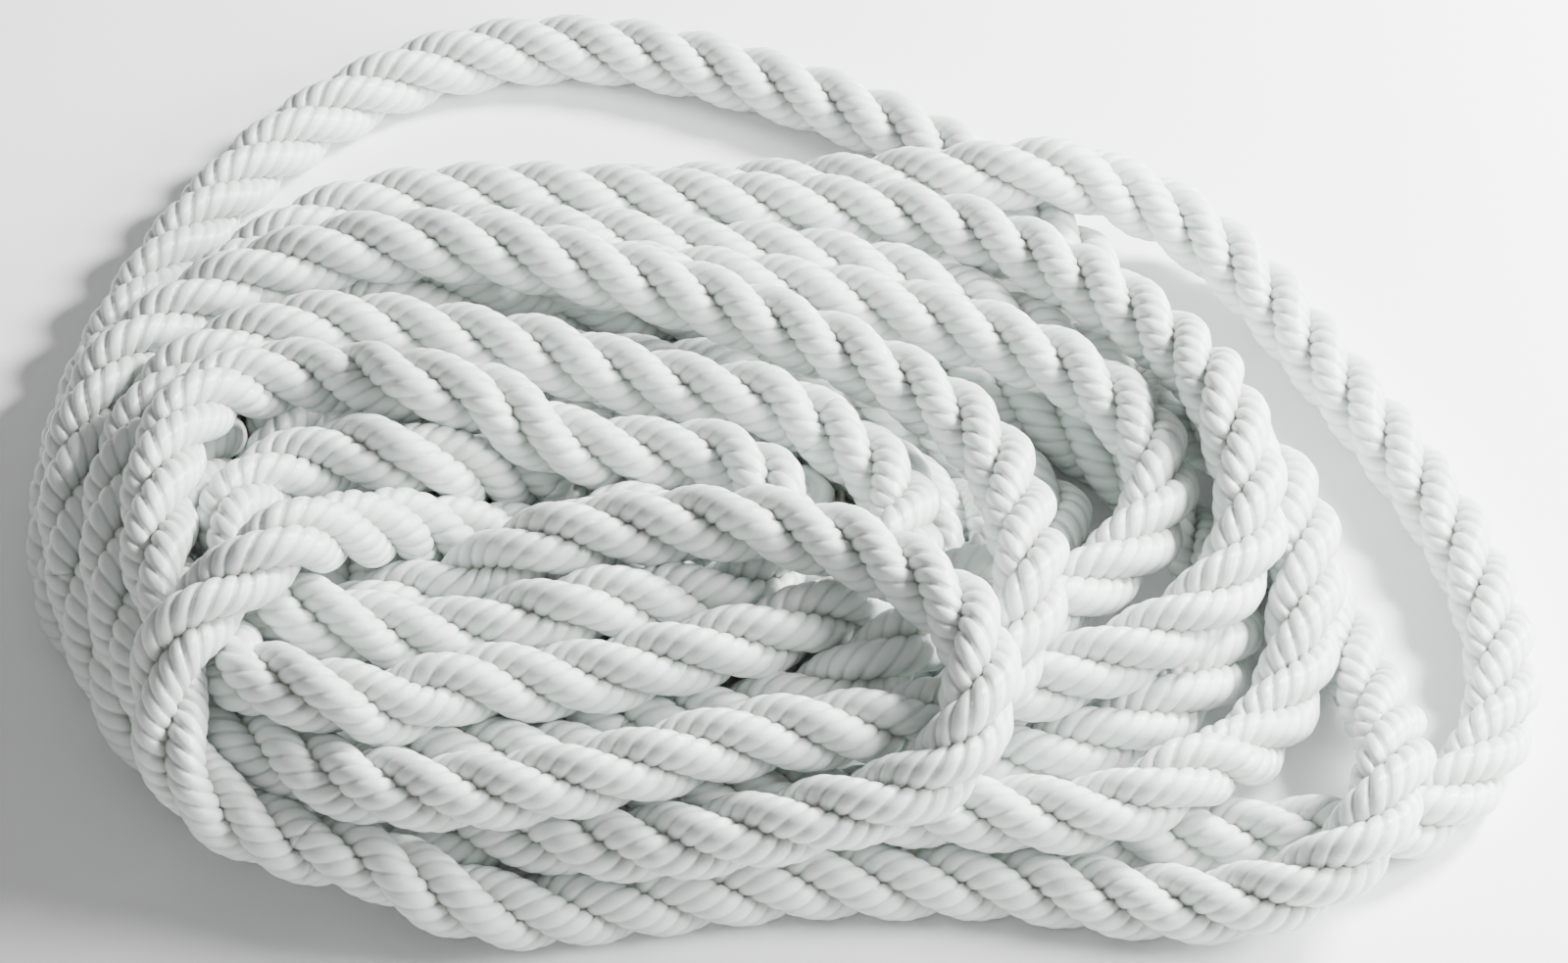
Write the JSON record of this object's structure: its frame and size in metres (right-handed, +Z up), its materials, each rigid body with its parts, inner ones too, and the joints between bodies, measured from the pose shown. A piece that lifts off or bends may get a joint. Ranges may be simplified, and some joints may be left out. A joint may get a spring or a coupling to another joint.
{
  "type": "coiled dock line",
  "caption": "white three-strand laid rope for mooring a boat, stowed in a loose oval coil with slack loops, both ends whipped and fused",
  "frame": {"origin": "on the surface the coil lies on, under the middle of the coil's outline", "axes": "+Z up; +X along the coil, towards the free loops; +Y towards the wide back loop, away from a viewer at the front"},
  "size_m": [0.312, 0.264, 0.0639],
  "materials": {
    "rope": "laid white nylon filament yarn with a satin gloss",
    "twine": "waxed white whipping twine, wound tight",
    "fused_end": "melted nylon, slightly yellowed and glazed"
  },
  "bodies": {
    "root": {"outer_coil": "rope", "core_coil": "rope", "top_coil": "rope", "back_loop": "rope", "right_loop": "rope", "near_loop": "rope", "centre_turn": "rope", "top_turn": "rope", "start_tail": "rope", "start_whipping": "twine", "end_whipping": "twine", "start_tip": "fused_end", "end_tip": "fused_end"}
  },
  "joints": []
}
